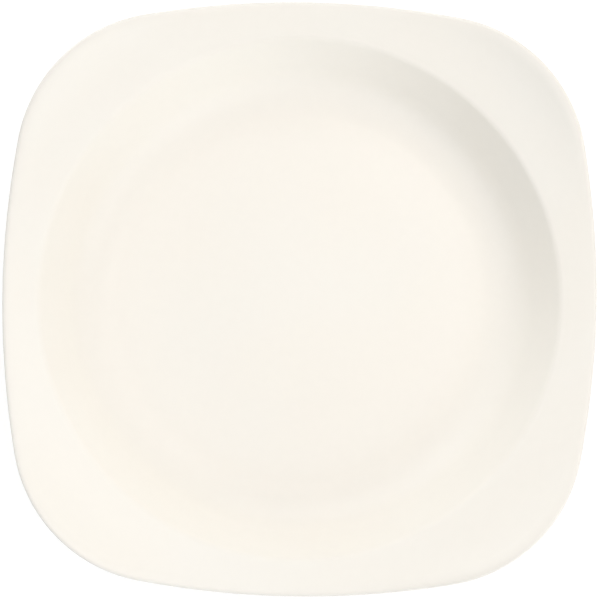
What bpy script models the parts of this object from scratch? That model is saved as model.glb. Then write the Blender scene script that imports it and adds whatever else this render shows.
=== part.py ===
# A square deep plate: one glazed ceramic body with a round well, a bowed-square rim whose corners
# turn up, a rolled lip and a foot ring. Metres, +Z up, standing on its foot ring at z = 0, centred on
# the axis of the well, with the middles of the four sides on the X and Y axes.

import math

import bmesh
import bpy
from mathutils import Matrix, Vector

# Outline of the rim, seen from above
WIDTH = 0.210  # between the middles of two opposite sides
SIDE_RADIUS = 0.292  # each side bows out in a shallow arc
CORNER_RADIUS = 0.0562

# Rim
RIM_WIDTH = 0.0126  # from the edge of the well to the middle of a side
RIM_SLOPE = math.radians(19)
RIM_THICKNESS = 0.0040
CORNER_LIFT = 0.0046  # how far a corner's tip turns up above the plain slope
LIFT_INSET = 0.0025  # the upturn starts this far inside the middle of a side
LIP_LENGTH = 0.0055  # the edge rounds over from top to underside within this width

# Well
WELL_DEPTH = 0.025  # from the edge of the well down to the floor
WELL_SIDE = 0.0284  # across the wall and the rising belt of the floor, in plan
WALL_SLOPE = math.radians(58)
WALL_THICKNESS = 0.0043
EDGE_FILLET = 0.006  # where the wall turns over into the rim
UNDER_EDGE_FILLET = 0.004
HEEL_FILLET = 0.022  # cove between floor and wall
BELT_SLOPE = math.radians(2)  # the floor's outer belt rises gently to the cove
BELT_FILLET = 0.040

# Base
BASE_THICKNESS = 0.0048
RECESS = 0.0022  # height of the underside inside the foot ring
FOOT_INSET = 0.004  # the ring's middle lies this far inside the start of the rising belt
FOOT_WIDTH = 0.0034
FOOT_DRAFT = math.radians(25)
FOOT_EDGE_FILLET = 0.0007
FOOT_ROOT_FILLET = 0.002

# Fineness of the facets
SECTIONS = 72
RIM_STEPS = 5
LIP_STEPS = 10

GLAZE_COLOUR = (0.90, 0.85, 0.74, 1.0)
GLAZE_ROUGHNESS = 0.15

# Levels and radii that follow from the sizes above
FLOOR_HEIGHT = RECESS + BASE_THICKNESS
EDGE_HEIGHT = FLOOR_HEIGHT + WELL_DEPTH
EDGE_OF_WELL = WIDTH / 2 - RIM_WIDTH
FLOOR_RADIUS = EDGE_OF_WELL - WELL_SIDE
FOOT_RADIUS = FLOOR_RADIUS - FOOT_INSET
LIFT_START = WIDTH / 2 - LIFT_INSET


def clear_scene():
    for found in list(bpy.data.objects):
        bpy.data.objects.remove(found, do_unlink=True)


def outline_radius(direction):
    """Distance from the axis to the rim's edge, where side arcs and corner arcs meet tangentially."""
    quarter = math.pi / 2
    turn = abs((direction + quarter / 2) % quarter - quarter / 2)
    side_centre = WIDTH / 2 - SIDE_RADIUS
    between = SIDE_RADIUS - CORNER_RADIUS
    corner_centre = (side_centre + math.sqrt(2 * between**2 - side_centre**2)) / 2
    meeting_x = side_centre + SIDE_RADIUS * (corner_centre - side_centre) / between
    meeting_y = SIDE_RADIUS * corner_centre / between
    if turn <= math.atan2(meeting_y, meeting_x):
        across = side_centre * math.sin(turn)
        return side_centre * math.cos(turn) + math.sqrt(SIDE_RADIUS**2 - across**2)
    along = corner_centre * (math.cos(turn) + math.sin(turn))
    return along + math.sqrt(along**2 - 2 * corner_centre**2 + CORNER_RADIUS**2)


def rim_height(radius):
    """Top of the rim: a plain slope out from the well, with an upturn that only the corners reach far into."""
    slope = (radius - EDGE_OF_WELL) * math.tan(RIM_SLOPE)
    reach = outline_radius(math.pi / 4) - LIFT_START
    upturn = max(0.0, radius - LIFT_START) / reach
    return EDGE_HEIGHT + slope + CORNER_LIFT * upturn**2


def crossing(start, slope, other_start, other_slope):
    """Where two straight lines of the section meet, each given by a point and its slope."""
    rise, other_rise = math.tan(slope), math.tan(other_slope)
    radius = (other_start.y - start.y + rise * start.x - other_rise * other_start.x) / (rise - other_rise)
    return Vector((radius, start.y + rise * (radius - start.x)))


def below(point, slope, thickness):
    """The point of a sloping wall's underside that lies straight below a point of its top."""
    return point - Vector((0.0, thickness / math.cos(slope)))


def rounded(corners):
    """A section path through corners (point, fillet, steps), each fillet limited by the walls beside it."""
    points = [corner[0] for corner in corners]
    wanted = [0.0]
    for before, (point, fillet, _), after in zip(points, corners[1:-1], points[2:]):
        wanted.append(fillet / math.tan((before - point).angle(after - point) / 2))
    wanted.append(0.0)
    room = [(b - a).length / max(i + j, 1e-9) for a, b, i, j in zip(points, points[1:], wanted, wanted[1:])]
    path = [points[0]]
    for index in range(1, len(points) - 1):
        point, _, steps = corners[index]
        back = (points[index - 1] - point).normalized()
        onward = (points[index + 1] - point).normalized()
        reach = wanted[index] * min(1.0, room[index - 1], room[index])
        half = back.angle(onward) / 2
        centre = point + (back + onward).normalized() * (reach / math.cos(half))
        start = point + back * reach - centre
        turn = start.angle_signed(point + onward * reach - centre)
        path += [centre + Matrix.Rotation(-turn * step / steps, 2) @ start for step in range(steps + 1)]
    return path + [points[-1]]


def well_path():
    """From the floor's middle up to the edge of the well."""
    edge = Vector((EDGE_OF_WELL, EDGE_HEIGHT))
    belt = Vector((FLOOR_RADIUS, FLOOR_HEIGHT))
    heel = crossing(belt, BELT_SLOPE, edge, WALL_SLOPE)
    on_rim = Vector((WIDTH / 2, rim_height(WIDTH / 2)))
    path = rounded(
        [
            (Vector((0.0, FLOOR_HEIGHT)), 0.0, 0),
            (belt, BELT_FILLET, 3),
            (heel, HEEL_FILLET, 8),
            (edge, EDGE_FILLET, 5),
            (on_rim, 0.0, 0),
        ]
    )
    return path[1:-1]


def base_path():
    """From the underside of the rim down the outside of the well and across the foot ring."""
    edge = Vector((EDGE_OF_WELL, EDGE_HEIGHT))
    belt = Vector((FLOOR_RADIUS, FLOOR_HEIGHT))
    under_wall = below(edge, WALL_SLOPE, WALL_THICKNESS)
    under_belt = below(belt, BELT_SLOPE, WALL_THICKNESS)
    under_rim = below(edge, RIM_SLOPE, RIM_THICKNESS)
    foot_out = Vector((FOOT_RADIUS + FOOT_WIDTH / 2, 0.0))
    foot_in = Vector((FOOT_RADIUS - FOOT_WIDTH / 2, 0.0))
    foot_side = math.pi / 2 - FOOT_DRAFT
    recess_edge = foot_in + Vector((-RECESS * math.tan(FOOT_DRAFT), RECESS))
    on_rim = Vector((WIDTH / 2, under_rim.y + RIM_WIDTH * math.tan(RIM_SLOPE)))
    path = rounded(
        [
            (on_rim, 0.0, 0),
            (crossing(under_wall, WALL_SLOPE, under_rim, RIM_SLOPE), UNDER_EDGE_FILLET, 4),
            (crossing(under_belt, BELT_SLOPE, under_wall, WALL_SLOPE), HEEL_FILLET + WALL_THICKNESS, 7),
            (crossing(foot_out, foot_side, under_belt, BELT_SLOPE), FOOT_ROOT_FILLET, 3),
            (foot_out, FOOT_EDGE_FILLET, 3),
            (foot_in, FOOT_EDGE_FILLET, 3),
            (recess_edge, FOOT_ROOT_FILLET, 3),
            (Vector((0.0, RECESS)), 0.0, 0),
        ]
    )
    return path[1:-1]


def rim_path(direction, inner_top, inner_under):
    """Out along the top of the rim, round the lip and back along the underside, in one direction."""
    outer = outline_radius(direction)
    lip_start = outer - LIP_LENGTH
    thickness = RIM_THICKNESS / math.cos(RIM_SLOPE)
    path = []
    for step in range(1, RIM_STEPS):
        radius = inner_top + (lip_start - inner_top) * step / RIM_STEPS
        path.append(Vector((radius, rim_height(radius))))
    for step in range(LIP_STEPS + 1):
        roll = math.pi / 2 - math.pi * step / LIP_STEPS
        radius = lip_start + LIP_LENGTH * math.cos(roll)
        path.append(Vector((radius, rim_height(radius) - thickness * (1 - math.sin(roll)) / 2)))
    for step in range(1, RIM_STEPS):
        radius = lip_start + (inner_under - lip_start) * step / RIM_STEPS
        path.append(Vector((radius, rim_height(radius) - thickness)))
    return path


def glaze():
    material = bpy.data.materials.new("cream_glaze")
    material.use_nodes = True
    shader = material.node_tree.nodes["Principled BSDF"]
    shader.inputs["Base Color"].default_value = GLAZE_COLOUR
    shader.inputs["Roughness"].default_value = GLAZE_ROUGHNESS
    shader.inputs["Metallic"].default_value = 0.0
    material.diffuse_color = GLAZE_COLOUR
    return material


def make_plate():
    """Grows the shell ring by ring: the floor outwards to the lip, then back under it and across the foot."""
    well = well_path()
    base = base_path()
    directions = [math.tau * index / SECTIONS for index in range(SECTIONS)]
    columns = []
    for direction in directions:
        section = well + rim_path(direction, well[-1].x, base[0].x) + base
        across = Vector((math.cos(direction), math.sin(direction), 0.0))
        columns.append([across * point.x + Vector((0.0, 0.0, point.y)) for point in section])

    rings = list(zip(*columns))
    shape = bmesh.new()
    floor = shape.faces.new([shape.verts.new(place) for place in rings[0]])
    bmesh.ops.poke(shape, faces=[floor])
    edge_loop = [edge for edge in shape.edges if edge.is_boundary]
    for ring in rings[1:]:
        grown = bmesh.ops.extrude_edge_only(shape, edges=edge_loop)["geom"]
        for vert in grown:
            if isinstance(vert, bmesh.types.BMVert):
                direction = math.atan2(vert.co.y, vert.co.x)
                vert.co = ring[round(direction * SECTIONS / math.tau) % SECTIONS]
        edge_loop = [edge for edge in grown if isinstance(edge, bmesh.types.BMEdge) and edge.is_boundary]
    recess = bmesh.ops.contextual_create(shape, geom=edge_loop)["faces"]
    bmesh.ops.poke(shape, faces=recess)
    bmesh.ops.recalc_face_normals(shape, faces=shape.faces)

    mesh = bpy.data.meshes.new("plate")
    shape.to_mesh(mesh)
    shape.free()
    mesh.shade_smooth()
    mesh.set_sharp_from_angle(angle=math.radians(35))
    mesh.materials.append(glaze())
    plate = bpy.data.objects.new("plate", mesh)
    bpy.context.scene.collection.objects.link(plate)
    return plate


clear_scene()
make_plate()
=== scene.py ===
# Looks of the square deep plate: its glazed shell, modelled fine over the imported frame, on a pale floor.
# Metres, +Z up. The plate stands on its foot ring at z = 0, with the axis of the well on the Z axis.

import math

import bmesh
import bpy
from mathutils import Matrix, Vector


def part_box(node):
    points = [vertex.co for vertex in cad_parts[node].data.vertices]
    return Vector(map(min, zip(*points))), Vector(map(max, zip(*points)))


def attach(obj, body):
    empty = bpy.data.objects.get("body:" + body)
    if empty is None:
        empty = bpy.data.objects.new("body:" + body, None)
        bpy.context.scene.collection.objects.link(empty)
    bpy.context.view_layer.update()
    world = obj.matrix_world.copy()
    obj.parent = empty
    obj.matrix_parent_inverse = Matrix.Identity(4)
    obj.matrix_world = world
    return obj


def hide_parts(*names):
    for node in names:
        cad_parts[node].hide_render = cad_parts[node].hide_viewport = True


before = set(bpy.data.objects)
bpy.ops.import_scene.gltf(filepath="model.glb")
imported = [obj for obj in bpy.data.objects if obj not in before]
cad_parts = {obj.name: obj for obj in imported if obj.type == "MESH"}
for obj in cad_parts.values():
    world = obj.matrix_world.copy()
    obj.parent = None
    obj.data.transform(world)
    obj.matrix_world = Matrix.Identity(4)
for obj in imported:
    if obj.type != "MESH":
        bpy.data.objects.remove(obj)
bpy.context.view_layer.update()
plateLow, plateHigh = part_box("plate")
print("frame loaded, the plate is", round(plateHigh.x - plateLow.x, 4), "wide")

# The shell

shell = {
    "width": plateHigh.x - plateLow.x,  # between the middles of two opposite sides
    "sideRadius": 0.292,  # each side bows out in a shallow arc
    "cornerRadius": 0.0562,
    "rimWidth": 0.0126,  # from the edge of the well to the middle of a side
    "rimSlope": math.radians(19),
    "rimThickness": 0.0040,
    "cornerLift": 0.0056,  # how far the corners turn up above the plain slope
    "liftInset": 0.0025,  # the upturn starts this far inside the middle of a side
    "lipLength": 0.0055,  # the edge rounds over within this width
    "lipFullness": 3.6,  # 2 is a plain ellipse, more is a flatter top and a tighter edge
    "wellDepth": 0.025,
    "wellSide": 0.0344,  # wall and rising belt of the floor, in plan
    "wallSlope": math.radians(58),
    "wallThickness": 0.0043,
    "edgeFillet": 0.0045,  # where the wall turns over into the rim
    "underEdgeFillet": 0.004,
    "heelFillet": 0.022,  # cove between floor and wall
    "beltSlope": math.radians(1.2),  # the floor's outer belt rises gently to the cove
    "beltFillet": 0.25,  # so wide that the floor starts to rise unnoticed
    "baseThickness": 0.0048,
    "recess": 0.0022,  # the underside inside the foot ring
    "footRadius": 0.060,  # to the middle of the ring
    "footWidth": 0.0034,
    "footDraft": math.radians(25),
    "footEdgeFillet": 0.0007,
    "footRootFillet": 0.002,
    "beltSteps": 8,  # steps round each fillet of the section
    "heelSteps": 24,
    "edgeSteps": 12,
    "underEdgeSteps": 10,
    "underHeelSteps": 18,
    "footRootSteps": 8,
    "footEdgeSteps": 6,
    "lipSteps": 28,
    "aroundSteps": 288,
    "ringSpacing": 0.0016,  # longer stretches of the section are cut up
    "mergeWithin": 0.000001,
}
halfWidth = shell["width"] / 2
wellRadius = halfWidth - shell["rimWidth"]
floorHeight = shell["recess"] + shell["baseThickness"]
edgeHeight = floorHeight + shell["wellDepth"]
floorRadius = wellRadius - shell["wellSide"]
footRadius = shell["footRadius"]
lipStart = halfWidth - shell["lipLength"]
rimDepth = shell["rimThickness"] / math.cos(shell["rimSlope"])  # straight down through the rim
stretchFrom = wellRadius + shell["underEdgeFillet"]  # the shell is round up to here


def outlineRadius(direction):
    quarter = math.pi / 2
    turn = abs((direction + quarter / 2) % quarter - quarter / 2)
    sideCentre = halfWidth - shell["sideRadius"]
    between = shell["sideRadius"] - shell["cornerRadius"]
    cornerCentre = (sideCentre + math.sqrt(2 * between**2 - sideCentre**2)) / 2
    meetX = sideCentre + shell["sideRadius"] * (cornerCentre - sideCentre) / between
    meetY = shell["sideRadius"] * cornerCentre / between
    if turn <= math.atan2(meetY, meetX):  # on the side's arc
        across = sideCentre * math.sin(turn)
        return sideCentre * math.cos(turn) + math.sqrt(shell["sideRadius"] ** 2 - across**2)
    along = cornerCentre * (math.cos(turn) + math.sin(turn))
    return along + math.sqrt(along**2 - 2 * cornerCentre**2 + shell["cornerRadius"] ** 2)


def plainSlope(radius):
    return edgeHeight + (radius - wellRadius) * math.tan(shell["rimSlope"])


def upturn(radius):
    liftStart = halfWidth - shell["liftInset"]
    reach = outlineRadius(math.pi / 4) - liftStart
    return shell["cornerLift"] * (max(0.0, radius - liftStart) / reach) ** 2


def crossing(start, slope, other, otherSlope):
    rise = math.tan(slope)
    otherRise = math.tan(otherSlope)
    radius = (other[1] - start[1] + rise * start[0] - otherRise * other[0]) / (rise - otherRise)
    return radius, start[1] + rise * (radius - start[0])


def lowered(point, slope, thickness):
    return point[0], point[1] - thickness / math.cos(slope)


def sectionCorners():
    edge = (wellRadius, edgeHeight)
    belt = (floorRadius, floorHeight)
    heel = crossing(belt, shell["beltSlope"], edge, shell["wallSlope"])
    underWall = lowered(edge, shell["wallSlope"], shell["wallThickness"])
    underBelt = lowered(belt, shell["beltSlope"], shell["wallThickness"])
    underRim = lowered(edge, shell["rimSlope"], shell["rimThickness"])
    footOut = (footRadius + shell["footWidth"] / 2, 0.0)
    footIn = (footRadius - shell["footWidth"] / 2, 0.0)
    footSide = math.pi / 2 - shell["footDraft"]
    underEdge = crossing(underWall, shell["wallSlope"], underRim, shell["rimSlope"])
    underHeel = crossing(underBelt, shell["beltSlope"], underWall, shell["wallSlope"])
    footRoot = crossing(footOut, footSide, underBelt, shell["beltSlope"])
    recessEdge = (footIn[0] - shell["recess"] * math.tan(shell["footDraft"]), shell["recess"])
    top = [  # point, fillet, steps round the fillet
        ((0.0, floorHeight), 0.0, 0),
        (belt, shell["beltFillet"], shell["beltSteps"]),
        (heel, shell["heelFillet"], shell["heelSteps"]),
        (edge, shell["edgeFillet"], shell["edgeSteps"]),
        ((lipStart, plainSlope(lipStart)), 0.0, 0),
    ]
    under = [
        ((lipStart, plainSlope(lipStart) - rimDepth), 0.0, 0),
        (underEdge, shell["underEdgeFillet"], shell["underEdgeSteps"]),
        (underHeel, shell["heelFillet"] + shell["wallThickness"], shell["underHeelSteps"]),
        (footRoot, shell["footRootFillet"], shell["footRootSteps"]),
        (footOut, shell["footEdgeFillet"], shell["footEdgeSteps"]),
        (footIn, shell["footEdgeFillet"], shell["footEdgeSteps"]),
        (recessEdge, shell["footRootFillet"], shell["footRootSteps"]),
        ((0.0, shell["recess"]), 0.0, 0),
    ]
    return top, under


def addLine(bm, fromVert, point):
    toVert = bm.verts.new(point)
    bm.edges.new((fromVert, toVert))
    return toVert


def swing(bm, tip, centre, angle, steps):
    arc = bmesh.ops.spin(bm, geom=[tip], cent=centre, axis=(0, 1, 0), angle=angle, steps=steps)
    return next(found for found in arc["geom_last"] if isinstance(found, bmesh.types.BMVert))


def drawPath(bm, tip, corners):
    points = [Vector((point[0], 0.0, point[1])) for point, fillet, steps in corners]
    for index in range(1, len(points) - 1):
        fillet, steps = corners[index][1:]
        back = (points[index - 1] - points[index]).normalized()
        onward = (points[index + 1] - points[index]).normalized()
        half = back.angle(onward) / 2
        centre = points[index] + (back + onward).normalized() * (fillet / math.sin(half))
        turn = math.copysign(math.pi - 2 * half, -back.cross(onward).y)
        tip = addLine(bm, tip, points[index] + back * (fillet / math.tan(half)))
        tip = swing(bm, tip, centre, turn, steps)
    return addLine(bm, tip, points[-1])


def rollLip(bm, lipTop):
    centre = Vector((lipStart, 0.0, lipTop.co.z - rimDepth / 2))
    known = set(bm.verts)
    lipUnder = swing(bm, lipTop, centre, math.pi, shell["lipSteps"])
    power = 2 / shell["lipFullness"]
    for vert in bm.verts:  # the half round is filled out, drawn to length and laid on the rim's slope
        if vert in known:
            continue
        across = max(0.0, vert.co.x - lipStart) / (rimDepth / 2)
        rise = (vert.co.z - centre.z) / (rimDepth / 2)
        vert.co.x = lipStart + shell["lipLength"] * across**power
        vert.co.z = centre.z + math.copysign(abs(rise) ** power, rise) * rimDepth / 2
        vert.co.z += (vert.co.x - lipStart) * math.tan(shell["rimSlope"])
    return lipUnder


def squareRim(bm):
    for vert in bm.verts:
        radius = vert.co.xy.length
        if radius <= stretchFrom:
            continue
        outer = outlineRadius(math.atan2(vert.co.y, vert.co.x))
        share = min(1.0, (radius - stretchFrom) / (lipStart - stretchFrom))
        newRadius = radius + share * (outer - halfWidth)
        onLip = max(0.0, radius - lipStart)
        eased = onLip**2 / (2 * shell["lipLength"])  # the upturn dies out over the lip
        vert.co.z += plainSlope(newRadius) - plainSlope(radius) + upturn(newRadius - eased)
        vert.co.xy *= newRadius / radius


glazeFlow = {
    "lipFade": 3,  # how sharply the glaze thins towards the edge
    "coveLightOffset": 0.0096,  # the painted light in the cove is strongest this far outside the flat floor
    "coveLightInside": 0.0195,  # it fades slowly over the floor
    "coveLightOutside": 0.013,  # and sooner up the wall
    "footSpread": 0.002,  # the pool beside the foot ring
    "slack": 0.001,  # the floor and all above it count as the top
}


def markGlaze(bm):
    thin = bm.verts.layers.float.new("thinGlaze")
    coveLightOrPool = bm.verts.layers.float.new("coveLightAndFootPool")
    for vert in bm.verts:  # the shell is still round here
        radius = vert.co.xy.length
        vert[thin] = (max(0.0, radius - lipStart) / shell["lipLength"]) ** glazeFlow["lipFade"]
        # on the top this marks painted light in the cove; underneath, the glaze pool beside the foot
        if vert.co.z > floorHeight - glazeFlow["slack"]:
            aside = radius - floorRadius - glazeFlow["coveLightOffset"]
            spread = glazeFlow["coveLightInside"] if aside < 0 else glazeFlow["coveLightOutside"]
            vert[coveLightOrPool] = math.exp(-((aside / spread) ** 2))
        else:
            aside = (abs(radius - footRadius) - shell["footWidth"] / 2) / glazeFlow["footSpread"]
            vert[coveLightOrPool] = math.exp(-(aside**2)) * min(1.0, vert.co.z / shell["recess"])


def buildShell():
    bm = bmesh.new()
    top, under = sectionCorners()
    lipTop = drawPath(bm, bm.verts.new((0.0, 0.0, floorHeight)), top)
    drawPath(bm, rollLip(bm, lipTop), under)
    for edge in list(bm.edges):  # rings close enough for the rim's bends and for the tones of the glaze
        cuts = int(edge.calc_length() / shell["ringSpacing"])
        if cuts:
            bmesh.ops.subdivide_edges(bm, edges=[edge], cuts=cuts)
    bmesh.ops.spin(
        bm, geom=bm.verts[:] + bm.edges[:], cent=(0, 0, 0), axis=(0, 0, 1), angle=math.tau,
        steps=shell["aroundSteps"], use_merge=True,
    )
    bmesh.ops.remove_doubles(bm, verts=bm.verts, dist=shell["mergeWithin"])  # closes the two poles
    markGlaze(bm)
    squareRim(bm)
    bmesh.ops.recalc_face_normals(bm, faces=bm.faces)
    mesh = bpy.data.meshes.new("plateShell")
    bm.to_mesh(mesh)
    print("shell:", len(bm.faces), "faces,", round(bm.calc_volume() * 100**3, 2), "cm3")
    bm.free()
    mesh.shade_smooth()
    made = bpy.data.objects.new("plateShell", mesh)
    bpy.context.scene.collection.objects.link(made)
    return made


plateShell = buildShell()

# The glaze

glaze = {
    "colour": (0.872, 0.826, 0.741, 1.0),
    "warmColour": (0.871, 0.820, 0.731, 1.0),  # slow clouds drift towards this
    "cloudSize": 0.055,
    "cloudDetail": 2,
    "grainSize": 0.0035,  # fine unevenness of tone, and the dimpled skin of the glaze
    "grainDetail": 3,
    "grainTone": 0.995,  # the darkest of the fine grain
    "thinColour": (0.816, 0.766, 0.688, 1.0),  # over the lip, where the glaze runs thin
    "coveLightAndPoolColour": (0.902, 0.855, 0.772, 1.0),  # painted light in the cove, lighter than the glaze; beside the foot, where the glaze lies thick
    "clayColour": (0.78, 0.71, 0.61, 1.0),  # the foot's land is wiped bare
    "clayLine": 0.00045,  # the glaze ends at about this height
    "clayWaver": 0.0003,
    "clayBlur": 0.0001,
    "clayRoughness": 0.8,
    "claySize": 0.0004,  # its grit
    "clayDetail": 4,
    "clayDepth": 0.00002,
    "roughLow": 0.12,
    "roughHigh": 0.18,
    "grainDepth": 0.000006,
    "waveSize": 0.028,  # the slow waviness of a fired shell
    "waveDetail": 1,
    "waveDepth": 0.00007,
    "noiseLow": 0.35,  # a noise mostly stays between these two
    "noiseHigh": 0.65,
}


def addNode(tree, kind, inputs=None, **settings):
    made = tree.nodes.new(kind)
    for name, value in settings.items():
        setattr(made, name, value)
    for name, value in (inputs or {}).items():
        if isinstance(value, bpy.types.NodeSocket):
            tree.links.new(value, made.inputs[name])
        else:
            made.inputs[name].default_value = value
    return made


def addNoise(tree, place, name):
    inputs = {"Vector": place, "Scale": 1 / glaze[name + "Size"], "Detail": glaze[name + "Detail"]}
    return addNode(tree, "ShaderNodeTexNoise", inputs).outputs["Fac"]


def addMath(tree, operation, first, second, third=0.0):
    inputs = {0: first, 1: second, 2: third}
    return addNode(tree, "ShaderNodeMath", inputs, operation=operation).outputs[0]


def addRange(tree, value, low, high, toLow=0.0, toHigh=1.0):
    inputs = {"Value": value, "From Min": low, "From Max": high, "To Min": toLow, "To Max": toHigh}
    return addNode(tree, "ShaderNodeMapRange", inputs, interpolation_type="SMOOTHSTEP").outputs["Result"]


def addMix(tree, share, first, second, blend="MIX"):
    inputs = {0: share, 6: first, 7: second}
    return addNode(tree, "ShaderNodeMix", inputs, data_type="RGBA", blend_type=blend).outputs[2]


def makeGlaze():
    material = bpy.data.materials.new("creamGlaze")
    material.use_nodes = True
    tree = material.node_tree
    shader = tree.nodes["Principled BSDF"]
    place = addNode(tree, "ShaderNodeTexCoord").outputs["Object"]
    cloud = addNoise(tree, place, "cloud")
    grain = addNoise(tree, place, "grain")
    wave = addNoise(tree, place, "wave")
    clay = addNoise(tree, place, "clay")
    noiseRange = (glaze["noiseLow"], glaze["noiseHigh"])
    thin = addNode(tree, "ShaderNodeAttribute", attribute_name="thinGlaze").outputs["Fac"]
    coveLightOrPool = addNode(tree, "ShaderNodeAttribute", attribute_name="coveLightAndFootPool").outputs["Fac"]

    height = addNode(tree, "ShaderNodeSeparateXYZ", {"Vector": place}).outputs["Z"]
    lowLine = glaze["clayLine"] - glaze["clayWaver"] / 2
    line = addMath(tree, "MULTIPLY_ADD", wave, glaze["clayWaver"], lowLine)
    above = addMath(tree, "SUBTRACT", height, line)
    bare = addRange(tree, above, 0.0, glaze["clayBlur"], 1.0, 0.0)

    colour = addMix(tree, addRange(tree, cloud, *noiseRange), glaze["colour"], glaze["warmColour"])
    # painted light lightens the cove; beside the foot the glaze lies thick
    colour = addMix(tree, coveLightOrPool, colour, glaze["coveLightAndPoolColour"])
    colour = addMix(tree, thin, colour, glaze["thinColour"])
    speckle = addRange(tree, grain, *noiseRange, glaze["grainTone"], 1.0)
    colour = addMix(tree, 1.0, colour, speckle, "MULTIPLY")
    tree.links.new(addMix(tree, bare, colour, glaze["clayColour"]), shader.inputs["Base Color"])

    rough = addRange(tree, cloud, *noiseRange, glaze["roughLow"], glaze["roughHigh"])
    rough = addRange(tree, bare, 0.0, 1.0, rough, glaze["clayRoughness"])
    tree.links.new(rough, shader.inputs["Roughness"])

    relief = addMath(tree, "MULTIPLY", wave, glaze["waveDepth"])
    relief = addMath(tree, "MULTIPLY_ADD", grain, glaze["grainDepth"], relief)
    grit = addMath(tree, "MULTIPLY", clay, bare)
    relief = addMath(tree, "MULTIPLY_ADD", grit, glaze["clayDepth"], relief)
    bump = addNode(tree, "ShaderNodeBump", {"Height": relief, "Distance": 1.0})
    tree.links.new(bump.outputs["Normal"], shader.inputs["Normal"])
    return material


plateShell.data.materials.append(makeGlaze())
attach(plateShell, "root")
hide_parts("plate")
print("glaze on, shell rides on the root")

# Floor

floor = {
    "size": 1.4,
    "colour": (0.82, 0.82, 0.82, 1.0),
    "seenColour": (0.37, 0.35, 0.325, 1.0),  # how strongly the shadow shows on the white
    "seenWhite": 0.74,  # what the floor adds to that, up to white
}


def whiteRays(tree):
    rays = addNode(tree, "ShaderNodeLightPath").outputs
    seen = addMath(tree, "MAXIMUM", rays["Is Camera Ray"], rays["Is Glossy Ray"])
    return addMath(tree, "MAXIMUM", seen, rays["Is Transmission Ray"])


def makeFloor():
    bm = bmesh.new()
    bmesh.ops.create_grid(bm, x_segments=1, y_segments=1, size=floor["size"] / 2)
    mesh = bpy.data.meshes.new("paleFloor")
    bm.to_mesh(mesh)
    bm.free()
    material = bpy.data.materials.new("paleFloor")
    material.use_nodes = True
    tree = material.node_tree
    shader = tree.nodes["Principled BSDF"]
    seen = whiteRays(tree)
    shade = addMix(tree, seen, floor["colour"], floor["seenColour"])
    glow = addMath(tree, "MULTIPLY", seen, floor["seenWhite"])
    tree.links.new(shade, shader.inputs["Base Color"])
    tree.links.new(glow, shader.inputs["Emission Strength"])
    shader.inputs["Emission Color"].default_value = (1.0, 1.0, 1.0, 1.0)
    shader.inputs["Roughness"].default_value = 1.0
    shader.inputs["Specular IOR Level"].default_value = 0.0
    mesh.materials.append(material)
    made = bpy.data.objects.new("paleFloor", mesh)
    bpy.context.scene.collection.objects.link(made)


makeFloor()
print("floor laid")

# Light

coolTint = (0.940, 1.008, 1.093)
warmTint = (1.056, 0.990, 0.936)
panels = [  # large soft panels, each facing the plate
    {
        "name": "farPanel", "azimuth": 105, "elevation": 24, "wide": 1.43, "tall": 0.98,
        "radiance": 2.55, "tint": coolTint,
    },
    {
        "name": "nearPanel", "azimuth": 322, "elevation": 22, "wide": 1.17, "tall": 0.89,
        "radiance": 2.90, "tint": coolTint,
    },
    {
        "name": "leftPanel", "azimuth": 224, "elevation": 34, "wide": 1.10, "tall": 0.74,
        "radiance": 2.18, "tint": coolTint,
    },
    {
        "name": "topPanel", "azimuth": 36, "elevation": 69, "wide": 0.62, "tall": 0.90,
        "radiance": 3.41, "tint": warmTint,
    },
]
panelDistance = 1.1  # from the middle of the plate


def whiteSurround():
    world = bpy.data.worlds.new("whiteSurround")
    world.use_nodes = True
    tree = world.node_tree
    background = tree.nodes["Background"]
    background.inputs["Color"].default_value = (1.0, 1.0, 1.0, 1.0)
    tree.links.new(whiteRays(tree), background.inputs["Strength"])
    bpy.context.scene.world = world


def hangPanel(panel):
    lamp = bpy.data.lights.new(panel["name"], "AREA")
    lamp.shape = "RECTANGLE"
    lamp.size = panel["wide"]
    lamp.size_y = panel["tall"]
    lamp.color = panel["tint"]
    lamp.energy = panel["radiance"] * math.pi * panel["wide"] * panel["tall"]  # in watts
    made = bpy.data.objects.new(panel["name"], lamp)
    azimuth = math.radians(panel["azimuth"])
    elevation = math.radians(panel["elevation"])
    toward = Vector((math.cos(azimuth), math.sin(azimuth), 0.0)) * math.cos(elevation)
    toward.z = math.sin(elevation)
    made.location = toward * panelDistance
    made.rotation_euler = toward.to_track_quat("Z", "Y").to_euler()
    made.visible_camera = False
    made.visible_glossy = False
    bpy.context.scene.collection.objects.link(made)


whiteSurround()
for panel in panels:
    hangPanel(panel)
print("lit by", len(panels), "panels")

# Camera

view = {
    "lens": 200,
    "sensor": 36,
    "across": 0.21207,  # the frame's width at the level of the lip
    "aim": (0.0002, -0.0002),
    "roll": math.radians(0.7),  # the plate lies a little turned
}


def setCamera():
    data = bpy.data.cameras.new("straightDown")
    data.lens = view["lens"]
    data.sensor_width = view["sensor"]
    made = bpy.data.objects.new("straightDown", data)
    lipLevel = plainSlope(halfWidth) + upturn(halfWidth) - rimDepth / 2
    made.location = (*view["aim"], lipLevel + view["across"] * view["lens"] / view["sensor"])
    made.rotation_euler = (0.0, 0.0, view["roll"])
    bpy.context.scene.collection.objects.link(made)
    bpy.context.scene.camera = made


setCamera()
bpy.context.scene.view_settings.view_transform = "Standard"
print("camera looks straight down")
